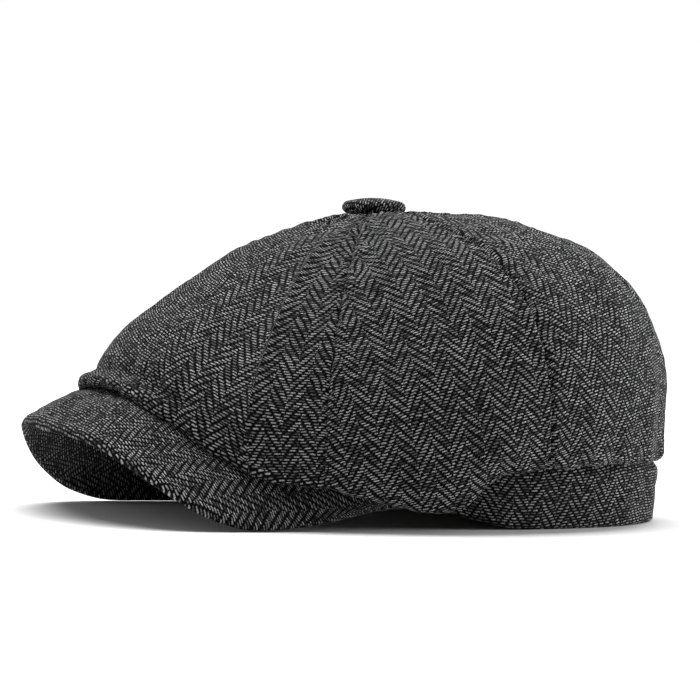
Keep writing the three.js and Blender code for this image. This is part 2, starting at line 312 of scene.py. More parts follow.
def unit(vectors):
    return vectors / np.maximum(np.linalg.norm(vectors, axis=-1, keepdims=True), 1e-9)


def polar_points(angle, radius, height):
    return np.stack([radius * np.sin(angle), -radius * np.cos(angle), height], axis=-1)


def turned_degrees(angle):
    """Degrees from the front, from -180 to 180; the wearer's left is positive."""
    return np.degrees((angle + np.pi) % (2 * np.pi) - np.pi)


def degrees_from_front(angle):
    return np.abs(turned_degrees(angle))


def front_raise(angle):
    degrees = degrees_from_front(angle)
    return FRONT_RAISE * (1 - smooth_step(FRONT_RAISE_FULL, FRONT_RAISE_END, degrees))


def side_drop(angle):
    return SIDE_DROP * hump(turned_degrees(angle), SIDE_DROP_ANGLE, SIDE_DROP_SPREAD, power=4)


class Waves:
    """Smooth seeded noise: a sum of waves of about one length in random directions."""

    def __init__(self, seed, length, count=28):
        random = np.random.RandomState(seed)
        directions = unit(random.normal(size=(count, 3)))
        lengths = length * random.uniform(0.7, 1.5, size=(count, 1))
        self.waves = directions * 2 * np.pi / lengths
        self.phases = random.uniform(0, 2 * np.pi, size=count)

    def __call__(self, points):
        total = np.zeros(points.shape[:-1])
        for wave, phase in zip(self.waves, self.phases):
            total += np.sin(points @ wave + phase)
        return total / math.sqrt(len(self.phases) / 2)


SOFT_SAG = Waves(3, 42)
SMALL_SAG = Waves(5, 15)
CLOTH_GRAIN = Waves(7, 5)


def uneven(points, soft, small, fine):
    """How uneven the cloth lies, from the heights of its soft, small and fine waves."""
    return soft * SOFT_SAG(points) + small * SMALL_SAG(points) + fine * CLOTH_GRAIN(points)


# The head band

BAND_HALF_WIDTH = HEAD_WIDTH / 2 + BAND_THICKNESS
BAND_HALF_LENGTH = HEAD_LENGTH / 2 + BAND_THICKNESS


def band_lift(angle):
    return FRONT_LIFT * np.maximum(0, read_table(RIM_LIFT, "lift", degrees_from_front(angle)))


def band_points(angle, share, outwards):
    """Points of the band at a share of its height, moved outwards from its outer face."""
    grow = outwards - BAND_LEAN * (1 - share)
    x = (BAND_HALF_WIDTH + grow) * np.sin(angle)
    y = HEAD_SET_BACK - (BAND_HALF_LENGTH + grow) * np.cos(angle)
    return np.stack(np.broadcast_arrays(x, y, band_lift(angle) + BAND_HEIGHT * share), axis=-1)


def band_crossing(angle, share, outwards):
    """Where rays from the button's axis leave the band's outer face."""
    grow = outwards - BAND_LEAN * (1 - share)
    half_width = BAND_HALF_WIDTH + grow
    half_length = BAND_HALF_LENGTH + grow
    across = np.sin(angle) / half_width
    along = -np.cos(angle) / half_length
    shift = HEAD_SET_BACK / half_length
    square = across ** 2 + along ** 2
    radius = (along * shift + np.sqrt(square - (across * shift) ** 2)) / square
    return radius, np.arctan2(radius * across, shift - radius * along)


# The crown

def dimple_at(radius):
    return BUTTON_DIMPLE * hump(radius, 0, DIMPLE_SPREAD)


def crown_profile(angle, stage):
    """Radius and height: stage 0..1 dome, 1..2 wall, 2..3 rolled hem, 3..4 turned under."""
    angle, stage = np.broadcast_arrays(angle, stage)
    degrees = degrees_from_front(angle)
    names = [name for name in CROWN_PROFILE[0] if name != "at"]
    column = {name: read_table(CROWN_PROFILE, name, degrees) for name in names}
    crossing, oval_angle = band_crossing(angle, column["sewn"], SEWN_GAP)
    least = crossing + HEM_TUCK + HEM_TURN_ROOM
    widest = np.maximum(CROWN_RADIUS * column["reach"], least)
    wall = np.maximum(widest - CROWN_RADIUS * column["draw_in"], least)
    widest_height = CROWN_HEIGHT * column["widest"] + front_raise(angle)
    hem = CROWN_HEIGHT * column["hem"] + front_raise(angle) - side_drop(angle)
    roll = np.minimum(HEM_ROLL_RADIUS, wall - crossing - HEM_TUCK)

    start = np.arcsin((CROWN_HOLE_RADIUS / widest) ** (column["crest"] / 2))
    turn = lerp(start, np.pi / 2, np.clip(stage, 0, 1))
    cosine = np.maximum(0, np.cos(turn))
    fullness = lerp(column["flank"], column["crest"], cosine ** 4)
    dome_radius = widest * np.sin(turn) ** (2 / fullness)
    dome_height = widest_height + (CROWN_HEIGHT - widest_height) * cosine ** (2 / fullness)
    dome_height = dome_height - dimple_at(dome_radius)

    down = np.clip(stage - 1, 0, 1)
    wall_radius = lerp(widest, wall, down ** 2)
    wall_height = lerp(widest_height, hem + roll, down)

    turn = np.pi / 2 * np.clip(stage - 2, 0, 1)
    roll_radius = wall - roll * (1 - np.cos(turn))
    roll_height = hem + roll * (1 - np.sin(turn))

    inwards = np.clip(stage - 3, 0, 1)
    sewn_height = band_lift(oval_angle) + BAND_HEIGHT * column["sewn"]
    under_radius = lerp(wall - roll, crossing, inwards)
    under_height = lerp(hem, sewn_height, inwards ** 1.5)

    parts = [stage <= 1, stage <= 2, stage <= 3]
    radius = np.select(parts, [dome_radius, wall_radius, roll_radius], under_radius)
    height = np.select(parts, [dome_height, wall_height, roll_height], under_height)
    return radius, height


def profile_normal(angle, stage):
    """Outwards from the crown's plain section."""
    step = 0.01
    before = np.stack(crown_profile(angle, np.maximum(stage - step, 0)))
    after = np.stack(crown_profile(angle, np.minimum(stage + step, 4)))
    run = after[0] - before[0]
    fall = before[1] - after[1]
    size = np.maximum(np.hypot(run, fall), 1e-6)
    return polar_points(angle, fall / size, run / size)


def fold_relief(angle, stage):
    """The puffed panels and the soft folds of the CAD part, with a sharper crest."""
    fade = np.sin(np.pi * np.clip(stage / 2, 0, 1)) ** 0.6
    across = (angle - PANEL_TWIST) / PANEL_ANGLE
    from_middle = 2 * np.abs(across - np.round(across))
    relief = -PANEL_PUFF * from_middle ** 2
    for fold in CROWN_FOLDS:
        away = degrees_from_front(angle - math.radians(fold["angle"])) / fold["spread"]
        along = np.clip((stage - fold["start"]) / (fold["end"] - fold["start"]), 0, 1)
        crest = np.exp(-2.2 * np.abs(away) ** 1.2)
        shape = (1 - CREST_SHARE) * hump(away, 0, 1) + CREST_SHARE * crest
        relief = relief + fold["height"] * shape * np.sin(np.pi * along) ** 0.7
    return relief * fade


def seam_strength(angle):
    """1 at a plain seam and little at the one where the cloth seems to run on."""
    return 1 - HIDDEN_SEAM_SHARE * hump(turned_degrees(angle), HIDDEN_SEAM_ANGLE, HIDDEN_SEAM_SPREAD)


def seam_relief(angle, stage, seam_distance, down_cloth, wander):
    """The groove of a seam, the cloth's shoulders beside it and the puckers across it."""
    ripple = np.sin(2 * np.pi * down_cloth / PUCKER_LENGTH + 1.3 * wander)
    relief = form(SEAM_GROOVE, seam_distance) + form(SEAM_SHOULDER, seam_distance)
    relief = relief + ripple * form(SEAM_PUCKER, seam_distance)
    return relief * smooth_step(0.0, 0.05, stage) * seam_strength(angle)


def gather_relief(angle, radius, wander):
    """Fine gathers that run out from the button, and none under it."""
    rays = np.sin(GATHER_COUNT * angle + 0.8 * wander)
    rays = rays + 0.7 * np.sin(SMALL_GATHER_COUNT * angle + 1.0)
    return rays * form(BUTTON_GATHER, radius) * smooth_step(11, 20, radius)


def pleat_relief(angle, radius, above_hem, wander):
    """Shallow pleats along the hem."""
    along_hem = 2 * np.pi * radius * angle
    pleats = np.sin(along_hem / PLEAT_LENGTH + wander)
    pleats = pleats + 0.6 * np.sin(along_hem / SMALL_PLEAT_LENGTH)
    return pleats * form(HEM_PLEAT, above_hem)


def hem_relief(angle, above_hem):
    """The crease and the hollow above the front hem, the overhang beside it and the rear tuck."""
    degrees = turned_degrees(angle)
    creases = form(HEM_CREASE, above_hem) + form(HEM_SHARP_CREASE, above_hem)
    relief = creases * hump(degrees, 0, CREASE_END, power=4)
    relief = relief + form(HEM_HOLLOW, above_hem) * hump(degrees, 0, HOLLOW_END, power=4)
    relief = relief + form(HEM_OVERHANG, above_hem) * side_drop(angle)
    behind = smooth_step(TUCK_START, TUCK_FULL, np.abs(degrees))
    return relief + form(HEM_REAR_TUCK, above_hem) * behind


def pinch_relief(angle, stage, radius):
    """The sharp pinch along the front fold, down the dome's flank."""
    from_fold = radius * np.radians(turned_degrees(angle) - FOLD_LINE)
    along = smooth_step(0.2, 0.35, stage) * (1 - smooth_step(0.85, 1.1, stage))
    return form(FOLD_PINCH, from_fold) * along


def crown_detail(angle, stage, points, seam_distance, down_cloth, above_hem):
    """All small forms of a panel, which fade out where the cloth is turned under."""
    radius = np.hypot(points[..., 0], points[..., 1])
    wander = SMALL_SAG(points)
    detail = seam_relief(angle, stage, seam_distance, down_cloth, wander)
    detail = detail + gather_relief(angle, radius, wander)
    detail = detail + pleat_relief(angle, radius, above_hem, wander)
    detail = detail + hem_relief(angle, above_hem)
    detail = detail + pinch_relief(angle, stage, radius)
    sag = uneven(points, soft=0.55, small=0.2, fine=0.05)
    detail = detail + sag * smooth_step(8, 30, radius)
    return detail * (1 - smooth_step(2.6, 3.4, stage))


def stage_rows():
    """Stages at which a panel is drawn, about evenly spaced over the cloth."""
    return np.concatenate([
        np.linspace(0, 1, 150, endpoint=False),
        np.linspace(1, 2, 24, endpoint=False),
        np.linspace(2, 3, 8, endpoint=False),
        np.linspace(3, 4, 12),
    ])


def turned_cloth(panel, number, angle, radius, down_cloth, seam_distance):
    """Where each point lies on the flat cloth, in metres, turned by the panel's grain."""
    folded = panel.get("folded", False)
    centre = math.radians(FOLD_LINE) if folded else number * PANEL_ANGLE + PANEL_TWIST
    across = radius * (angle - centre)
    down = down_cloth - FOLD_FOOT
    before_fold = folded & (angle < centre)
    grain = np.radians(np.where(before_fold, FOLD_TURN - FOLD_TWIST * down, panel["grain"]))
    u = np.cos(grain) * across + np.sin(grain) * down
    v = -np.sin(grain) * across + np.cos(grain) * down + PANEL_BOW * across ** 2
    u = np.where(before_fold, u / FOLD_STRETCH, u)

    near_seam = hump(seam_distance, 0, SEAM_PULL_SPREAD) * seam_strength(angle)

    def pull(sway, phase):
        turn = 2 * np.pi * down_cloth / sway["length"] + phase
        return sway["size"] * near_seam * np.sin(turn)

    u = u + pull(SEAM_PULL_ACROSS, 2 * number)
    v = v + pull(SEAM_PULL_DOWN, number)
    return np.stack([u, v], axis=-1) * MM


# Meshes

def shell_faces(rows, columns, closed_ring):
    """Quads of a closed skin: an outer grid, an inner grid under it and walls at the borders."""
    under = rows * columns

    def quads(a, b, c, d):
        return np.stack([d, c, b, a], axis=-1).reshape(-1, 4)

    def wall(border, flip):
        a, b = (border[1:], border[:-1]) if flip else (border[:-1], border[1:])
        return quads(a, b, b + under, a + under)

    grid = np.arange(under).reshape(rows, columns)
    if closed_ring:
        grid = np.concatenate([grid, grid[:1]], axis=0)
    here, right = grid[:-1, :-1], grid[1:, :-1]
    down, corner = grid[:-1, 1:], grid[1:, 1:]
    faces = [
        quads(here, down, corner, right),
        quads(here + under, right + under, corner + under, down + under),
        wall(grid[:, 0], flip=False),
        wall(grid[:, -1], flip=True),
    ]
    if not closed_ring:
        faces.append(wall(grid[0], flip=True))
        faces.append(wall(grid[-1], flip=False))
    return np.concatenate(faces)


def unwrap_ring(uv, length):
    """On a ring, the last faces run on past the end of the cloth instead of back to its start."""
    corners = uv.reshape(-1, 4, 2)
    along = corners[:, :, 0]
    wide = along.max(axis=1) - along.min(axis=1) > length / 2
    early = wide[:, None] & (along < length / 2)
    corners[:, :, 0] = np.where(early, along + length, along)
    return corners.reshape(-1, 2)


def shell_mesh(name, outside, inside, cloth, closed_ring):
    """One closed skin from two grids of points, with a wall at each border.

    outside and inside have rows across and columns along; cloth holds the flat place of
    each point. An open grid has four borders and a ring two.
    """
    rows, columns = outside.shape[:2]
    points = np.concatenate([outside.reshape(-1, 3), inside.reshape(-1, 3)])
    places = np.concatenate([cloth.reshape(-1, 2), cloth.reshape(-1, 2)])
    faces = shell_faces(rows, columns, closed_ring)

    mesh = bpy.data.meshes.new(name)
    placed = (points + AXIS_TO_FRAME) * MM
    mesh.from_pydata(placed.tolist(), [], faces.tolist())
    layer = mesh.uv_layers.new(name="cloth")
    loops = np.empty(len(mesh.loops), np.int32)
    mesh.loops.foreach_get("vertex_index", loops)
    uv = places[loops]
    if closed_ring:
        uv = unwrap_ring(uv, places[:, 0].max() * rows / (rows - 1))
    layer.data.foreach_set("uv", uv.astype(np.float32).ravel())
    mesh.polygons.foreach_set("use_smooth", [True] * len(mesh.polygons))
    mesh.update()
    piece = bpy.data.objects.new(name, mesh)
    bpy.context.scene.collection.objects.link(piece)
    return piece


def add_piece(piece, node, material):
    piece.data.materials.append(material)
    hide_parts(node)
    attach(piece, "root")
    return piece


def faces_tree(piece):
    """The faces of the peak, to lay the crown's hem on."""
    corners = [tuple(vertex.co) for vertex in piece.data.vertices]
    return BVHTree.FromPolygons(corners, [tuple(face.vertices) for face in piece.data.polygons])


def lift_off_peak(points, tree, clearance):
    """Raises points that would lie lower than the peak's top face plus a clearance."""
    above_all = 0.1
    flat = points.reshape(-1, 3)
    for number, point in enumerate(flat):
        place = (point + AXIS_TO_FRAME) * MM
        hit = tree.ray_cast(Vector((place[0], place[1], above_all)), Vector((0, 0, -1)))[0]
        if hit is not None:
            flat[number, 2] = max(point[2], hit.z / MM + clearance)
    return flat.reshape(points.shape)


# The pieces

def make_panel(number, material, tree):
    """One gore of the crown, from the hole under the button to the seam on the band."""
    panel = PANELS[number]
    middle = number * PANEL_ANGLE + PANEL_TWIST
    stages = stage_rows()
    sideways = np.linspace(1, -1, panel["columns"] + 1)[:, None]
    middle_radius = crown_profile(middle, stages)[0][None, :]
    seam_gap = 0.05
    half_angle = PANEL_ANGLE / 2 - seam_gap / middle_radius
    angle = middle + sideways * half_angle
    stage = np.broadcast_to(stages[None, :], angle.shape)

    radius, height = crown_profile(angle, stage)
    plain = polar_points(angle, radius, height)
    down_cloth = running_length(np.linalg.norm(np.diff(plain, axis=1), axis=-1), axis=1)
    hem_column = int(np.argmin(np.abs(stages - 2.5)))
    above_hem = np.abs(down_cloth[:, hem_column:hem_column + 1] - down_cloth)
    seam_distance = radius * (PANEL_ANGLE / 2 - np.abs(angle - middle))

    normal = profile_normal(angle, stage)
    relief = fold_relief(angle, stage)
    relief = relief + crown_detail(angle, stage, plain, seam_distance, down_cloth, above_hem)
    outside = plain + normal * relief[..., None]
    inside = outside - normal * CLOTH_THICKNESS
    inside = inside + normal * form(SEAM_TURN_IN, seam_distance)[..., None]

    below = stages > 1
    outside[:, below] = lift_off_peak(outside[:, below], tree, OUTER_CLEARANCE)
    inside[:, below] = lift_off_peak(inside[:, below], tree, HEM_CLEARANCE)
    cloth = turned_cloth(panel, number, angle, radius, down_cloth, seam_distance)
    piece = shell_mesh("crown_" + panel["name"], outside, inside, cloth, closed_ring=False)
    return add_piece(piece, panel["name"], material)


def make_band(material):
    """The band, a little padded, with rounded edges; its rim is flat where it rests."""
    angle = (np.arange(BAND_COLUMNS) * -2 * np.pi / BAND_COLUMNS)[:, None]
    degrees = degrees_from_front(angle)
    share = np.linspace(1, 0, BAND_ROWS)[None, :]
    height = share * BAND_HEIGHT
    from_edge = np.minimum(height, BAND_HEIGHT - height)
    near_edge = np.maximum(0, 1 - from_edge / BAND_EDGE_ROUND)
    tuck = BAND_EDGE_ROUND * (1 - np.sqrt(np.maximum(0, 1 - near_edge ** 2)))

    plain = band_points(angle, share, 0.0)
    padding = (BAND_PADDING + BAND_UNEVEN * SMALL_SAG(plain)) * np.sin(np.pi * share)
    below_hem = 1 - smooth_step(0.72, 0.9, share)
    side = smooth_step(*BAND_SIDE_ANGLES, degrees)
    back = smooth_step(*BAND_BACK_ANGLES, degrees)
    puff = padding * side + (BAND_SIDE_PUFF * side + BAND_BACK_PUFF * back) * below_hem
    outside = band_points(angle, share, puff - tuck)
    inside = band_points(angle, share, tuck - BAND_THICKNESS)

    along = running_length(np.linalg.norm(np.diff(plain[:, :1], axis=0), axis=-1), axis=0)
    drift = BAND_DRIFT * smooth_step(*BAND_DRIFT_ANGLES, degrees)
    cloth = np.stack(np.broadcast_arrays(along, drift - height), axis=-1) * MM
    piece = shell_mesh("band_cloth", outside, inside, cloth, closed_ring=True)
    return add_piece(piece, "band", material)


def peak_inner(place):
    """The seam of the peak on the band's lower rim."""
    angle = HORN_ANGLE * place / PEAK_ROWS
    share = (PEAK_THICKNESS + front_raise(angle)) / BAND_HEIGHT
    points = band_points(angle, share, SEWN_GAP)
    points[..., 2] = band_lift(angle) + PEAK_THICKNESS / 2
    return points


def peak_outer(place):
    """The peak's edge; places below 0 are on the far side."""
    row = np.abs(place)
    x = np.sign(place) * PEAK_HALF_WIDTH * read_table(PEAK_EDGE, "side", row)
    y = -PEAK_REACH * read_table(PEAK_EDGE, "ahead", row)
    far_edge = smooth_step(5.5, 7, -place) * (1 - smooth_step(7.5, 9, -place))
    z = PEAK_EDGE_HEIGHT * read_table(PEAK_EDGE, "height", row) * (1 - FAR_EDGE_SETTLE * far_edge)
    z = z + form(FAR_CORNER_RAISE, place)
    return np.stack([x, y, z], axis=-1)


def peak_middle(place, out):
    """The middle of the peak's sheet, from its seam at out 0 to its edge at out 1."""
    place, out = np.broadcast_arrays(place, out)
    inner = peak_inner(place)
    outer = peak_outer(place)
    points = lerp(inner, outer, out[..., None])
    roll = read_table(PEAK_EDGE, "roll", np.abs(place))
    points[..., 2] = lerp(inner[..., 2], outer[..., 2], out ** roll)
    points[..., 2] += front_raise(HORN_ANGLE * place / PEAK_ROWS) * (1 - out ** 3)
    return points


def peak_normal(place, out, width):
    """Upwards from the sheet, and straight up at its seam."""
    step = 0.01
    across = peak_middle(place + step, out) - peak_middle(place - step, out)
    ahead = peak_middle(place, out + step) - peak_middle(place, np.maximum(out - step, step))
    turned = smooth_step(0, PEAK_THICKNESS, out * width)[..., None]
    return unit(lerp(np.array([0, 0, 1]), unit(np.cross(ahead, across)), turned))


def peak_cloth(middle):
    """Where each point of the peak lies on the flat cloth, whose columns run straight ahead."""
    steps = np.diff(middle, axis=0)
    across = running_length(np.hypot(steps[..., 0], steps[..., 2]), axis=0)
    across = across[len(across) // 2] - across
    ahead = running_length(-np.diff(middle, axis=1)[..., 1], axis=1) - middle[:, :1, 1]
    return np.stack([across, ahead + PEAK_BOW * across ** 2], axis=-1) * MM * PEAK_WEAVE


def make_peak(material):
    """The peak: a stiff arched sheet with a rolled edge and a faint dip behind it."""
    place = np.linspace(PEAK_ROWS, -PEAK_ROWS, PEAK_LINES_ACROSS)[:, None]
    out = np.sin(np.pi / 2 * np.linspace(0, 1, PEAK_LINES_AHEAD))[None, :]
    place, out = np.broadcast_arrays(place, out)
    middle = peak_middle(place, out)
    width = np.linalg.norm(peak_inner(place) - peak_outer(place), axis=-1)
    normal = peak_normal(place, out, width)

    from_edge = (1 - out) * width
    into_round = np.maximum(0, 1 - from_edge / PEAK_EDGE_RADIUS)
    half = PEAK_THICKNESS / 2 * np.sqrt(np.maximum(0.01, 1 - into_round ** 2))
    rolled = form(PEAK_EDGE_ROLL, from_edge)
    bumps = rolled + form(PEAK_EDGE_DIP, from_edge) + uneven(middle, soft=0.25, small=0.22, fine=0.06)
    off_seam = smooth_step(0, 0.1, out)
    outside = middle + normal * (half + bumps * off_seam)[..., None]
    inside = middle - normal * (half + rolled * off_seam)[..., None]
    outside[..., 2] = np.maximum(outside[..., 2], 0.05)
    inside[..., 2] = np.maximum(inside[..., 2], 0)
    piece = shell_mesh("peak_cloth", outside, inside, peak_cloth(middle), closed_ring=False)
    return add_piece(piece, "peak", material)


def make_button(material):
    """The covered button: cloth pulled over a low dome, with faint pull lines at its rim."""
    rim = BUTTON_HEIGHT * BUTTON_RIM_SHARE
    flat = BUTTON_DIAMETER / 2 - rim
    seat = CROWN_HEIGHT - dimple_at(BUTTON_DIAMETER * 0.4) + SEWN_GAP

    # The section runs from the middle of the top over the rim to the underside.
    top_end = 0.45
    rim_end = 0.8
    way = np.linspace(0, 1, BUTTON_ROWS)
    angle = (np.arange(BUTTON_COLUMNS) * -2 * np.pi / BUTTON_COLUMNS)[:, None]
    angle, way = np.broadcast_arrays(angle, way)
    corner = np.pi / 2 * np.clip((way - top_end) / (rim_end - top_end), 0, 1)
    back = np.clip((way - rim_end) / (1 - rim_end), 0, 1)
    reach = np.where(way < top_end, flat * way / top_end, flat + rim * np.sin(corner))
    reach = reach - 0.8 * rim * back ** 2
    height = BUTTON_HEIGHT - BUTTON_DOME * (np.minimum(reach, flat) / flat) ** 2
    height = height - rim * (1 - np.cos(corner)) - (BUTTON_HEIGHT - BUTTON_DOME - rim) * back

    pulled = BUTTON_PULL * np.sin(BUTTON_PULL_COUNT * angle) * smooth_step(0.4, 0.8, way)
    spread = np.maximum(reach + pulled, 0.02)
    outside = polar_points(angle, spread, seat + height)
    core_floor = 0.3
    inside = polar_points(angle, 0.6 * spread, seat + core_floor + 0.55 * height)
    walk = running_length(np.hypot(np.diff(reach, axis=1), np.diff(height, axis=1)), axis=1)
    cloth = polar_points(angle + 0.5, walk, height)[..., :2] * MM
    piece = shell_mesh("button_cloth", outside, inside, cloth, closed_ring=True)
    return add_piece(piece, "button", material)


# Materials

# The deepest warp colour is painted shade, low in the gaps between threads.
WARP_IN_PAINTED_SHADE = (0.0005, 0.0005, 0.0005, 1)
WARP_RAISED = (0.012, 0.012, 0.0135, 1)
WEFT_LIGHT = (0.42, 0.425, 0.42, 1)
SHEEN_TINT = (0.93, 1.0, 0.95, 1)
PAPER_DARK = (0.77, 0.77, 0.77, 1)
PAPER_LIGHT = (0.79, 0.79, 0.79, 1)


class Shader:
    """Short names for the nodes of one material."""

    def __init__(self, name):
        self.material = bpy.data.materials.new(name)
        self.material.use_nodes = True
        self.tree = self.material.node_tree
        self.surface = self.tree.nodes["Principled BSDF"]

    def node(self, kind, **settings):
        made = self.tree.nodes.new(kind)
        for key, value in settings.items():
            setattr(made, key, value)
        return made

    def link(self, value, socket):
        if isinstance(value, bpy.types.NodeSocket):
            self.tree.links.new(value, socket)
        else:
            socket.default_value = value

    def math(self, operation, *values):
        made = self.node("ShaderNodeMath", operation=operation)
        for value, socket in zip(values, made.inputs):
            self.link(value, socket)
        return made.outputs[0]

    def add(self, a, b):
        return self.math("ADD", a, b)

    def subtract(self, a, b):
        return self.math("SUBTRACT", a, b)

    def multiply(self, a, b):
        return self.math("MULTIPLY", a, b)

    def divide(self, a, b):
        return self.math("DIVIDE", a, b)

    def floor(self, value):
        return self.math("FLOOR", value)

    def remainder(self, a, b):
        return self.math("FLOORED_MODULO", a, b)

    def mix(self, factor, a, b):
        made = self.node("ShaderNodeMix", data_type="RGBA")
        self.link(factor, made.inputs[0])
        self.link(a, made.inputs[6])
        self.link(b, made.inputs[7])
        return made.outputs[2]

    def noise(self, vector, scale, detail=2.0):
        made = self.node("ShaderNodeTexNoise")
        self.link(vector, made.inputs["Vector"])
        made.inputs["Scale"].default_value = scale
        made.inputs["Detail"].default_value = detail
        return made.outputs["Fac"]

    def sway(self, vector, scale, size):
        """Noise to both sides of 0."""
        return self.multiply(self.subtract(self.noise(vector, scale), 0.5), size)

    def ramp(self, value, low, high):
        made = self.node("ShaderNodeMapRange", interpolation_type="SMOOTHSTEP")
        self.link(value, made.inputs["Value"])
        made.inputs["From Min"].default_value = low
        made.inputs["From Max"].default_value = high
        return made.outputs["Result"]


def herringbone(shader, u, v):
    """Height of the thread on top, how much of it shows light weft rather than the shade painted at
    its edges and ends, and a number for each float.
    """
    repeat = 4.0
    ends = shader.divide(u, END_SPACING)
    picks = shader.divide(v, PICK_SPACING)
    end = shader.floor(ends)
    pick = shader.floor(picks)

    # Every other column leans the other way and starts two threads on.
    odd = shader.remainder(shader.floor(shader.divide(ends, ENDS_PER_COLUMN)), 2.0)
    offset = shader.multiply(odd, 2.0)
    lean = shader.subtract(1.0, offset)
    along_weft = shader.add(shader.multiply(lean, ends), shader.add(offset, pick))
    step = shader.subtract(shader.multiply(lean, shader.add(end, 0.5)), 0.5)
    along_warp = shader.add(picks, shader.add(step, offset))
    weft_place = shader.remainder(along_weft, repeat)
    warp_place = shader.remainder(along_warp, repeat)
    is_weft = shader.math("LESS_THAN", weft_place, 2.0)

    def roundness(across):
        from_middle = shader.subtract(shader.multiply(shader.math("FRACT", across), 2.0), 1.0)
        return shader.subtract(1.0, shader.math("POWER", shader.math("ABSOLUTE", from_middle), 2.0))

    def thread(place, across, sign):
        arch = shader.multiply(shader.math("SINE", shader.multiply(place, math.pi / 2)), sign)
        lump = shader.multiply(arch, roundness(across))
        return shader.math("SQRT", shader.math("MAXIMUM", 0.0, lump))

    weft = thread(weft_place, picks, 1.0)
    warp = shader.multiply(thread(warp_place, ends, -1.0), 0.85)
    height = shader.add(shader.multiply(weft, is_weft),
                        shader.multiply(warp, shader.subtract(1.0, is_weft)))

    # The light weft of each float, along its middle and short of its ends; its edges and ends stay
    # dark, partly as thin yarn and partly as painted shade where the yarn dips into the gaps.
    after_half = shader.add(along_weft, 1.0)
    from_middle = shader.math("ABSOLUTE", shader.subtract(shader.remainder(after_half, repeat), 2.0))
    weft_streak_with_painted_shade = shader.multiply(shader.ramp(roundness(picks), 0.66, 1.0),
                             shader.ramp(from_middle, 1.5, 0.95))

    number = shader.node("ShaderNodeCombineXYZ")
    shader.link(shader.floor(shader.divide(after_half, repeat)), number.inputs[0])
    shader.link(pick, number.inputs[1])
    shader.link(odd, number.inputs[2])
    return height, weft_streak_with_painted_shade, number.outputs[0]


def tweed():
    """Near-black warp and light grey weft, with uneven hairy yarn; shade is painted into the gaps
    between threads and at the ends of the weft floats.
    """
    shader = Shader("charcoal_herringbone_tweed")
    coordinates = shader.node("ShaderNodeTexCoord")
    place = coordinates.outputs["Object"]
    split = shader.node("ShaderNodeSeparateXYZ")
    shader.link(coordinates.outputs["UV"], split.inputs[0])
    u = shader.add(split.outputs[0], shader.sway(place, 55.0, 1.6 * MM))
    u = shader.add(u, shader.sway(place, 260.0, 1.1 * MM))
    v = shader.add(split.outputs[1], shader.sway(place, 71.0, 1.6 * MM))
    v = shader.add(v, shader.sway(place, 310.0, 0.9 * MM))
    height, weft_streak_with_painted_shade, float_number = herringbone(shader, u, v)

    random = shader.node("ShaderNodeTexWhiteNoise", noise_dimensions="3D")
    shader.link(float_number, random.inputs["Vector"])
    fleck = shader.ramp(random.outputs["Value"], -0.25, 0.9)
    hairs = shader.noise(place, 2600.0, 3.0)
    patches = shader.noise(place, 120.0, 3.0)

    # The weft streak holds painted shade at the edges and ends of each float.
    light = shader.multiply(weft_streak_with_painted_shade, fleck)
    light = shader.multiply(light, shader.ramp(hairs, 0.27, 0.62))
    light = shader.multiply(light, shader.add(0.45, shader.multiply(patches, 1.1)))
    # The warp is near black on its raised tops and blacker low in the gaps: shade painted by the
    # thread's height, broken by the hairs.
    painted_shade_and_hairs = shader.multiply(shader.ramp(height, 0.15, 0.95), shader.ramp(hairs, 0.3, 0.75))
    colour = shader.mix(light, shader.mix(painted_shade_and_hairs, WARP_IN_PAINTED_SHADE, WARP_RAISED), WEFT_LIGHT)
    shader.link(colour, shader.surface.inputs["Base Color"])

    bump = shader.node("ShaderNodeBump")
    bump.inputs["Strength"].default_value = 0.7
    bump.inputs["Distance"].default_value = 0.35 * MM
    shader.link(shader.add(height, shader.multiply(hairs, 0.5)), bump.inputs["Height"])
    shader.link(bump.outputs[0], shader.surface.inputs["Normal"])
    shader.surface.inputs["Roughness"].default_value = 0.95
    shader.surface.inputs["Specular IOR Level"].default_value = 0.05
    shader.surface.inputs["Sheen Weight"].default_value = 0.05
    shader.surface.inputs["Sheen Roughness"].default_value = 0.2
    shader.surface.inputs["Sheen Tint"].default_value = SHEEN_TINT
    return shader.material


def paper():
    """Plain white paper for the sweep under and behind the cap."""
    shader = Shader("white_paper")
    grain = shader.noise(shader.node("ShaderNodeTexCoord").outputs["Object"], 900.0)
    shader.link(shader.mix(grain, PAPER_DARK, PAPER_LIGHT), shader.surface.inputs["Base Color"])
    shader.surface.inputs["Roughness"].default_value = 0.9
    shader.surface.inputs["Specular IOR Level"].default_value = 0.1
    return shader.material


# Camera

CAMERA_AZIMUTH = math.radians(70)
CAMERA_RISE = math.radians(1.6)
CAMERA_ROLL = math.radians(1.2)
CAMERA_DISTANCE = 2.0
PIXELS_PER_METRE = 2350
AIM_HEIGHT = 0.065
AIM_PIXEL = (370.5, 363.0)
IMAGE_SIZE = 700
SENSOR = 36.0


def camera_axes():
    toward = Vector((math.sin(CAMERA_AZIMUTH) * math.cos(CAMERA_RISE),
                     -math.cos(CAMERA_AZIMUTH) * math.cos(CAMERA_RISE),
                     math.sin(CAMERA_RISE)))
    level = Vector((math.cos(CAMERA_AZIMUTH), math.sin(CAMERA_AZIMUTH), 0))
    rise = toward.cross(level)
    right = level * math.cos(CAMERA_ROLL) + rise * math.sin(CAMERA_ROLL)
    up = rise * math.cos(CAMERA_ROLL) - level * math.sin(CAMERA_ROLL)
    return right, up, toward


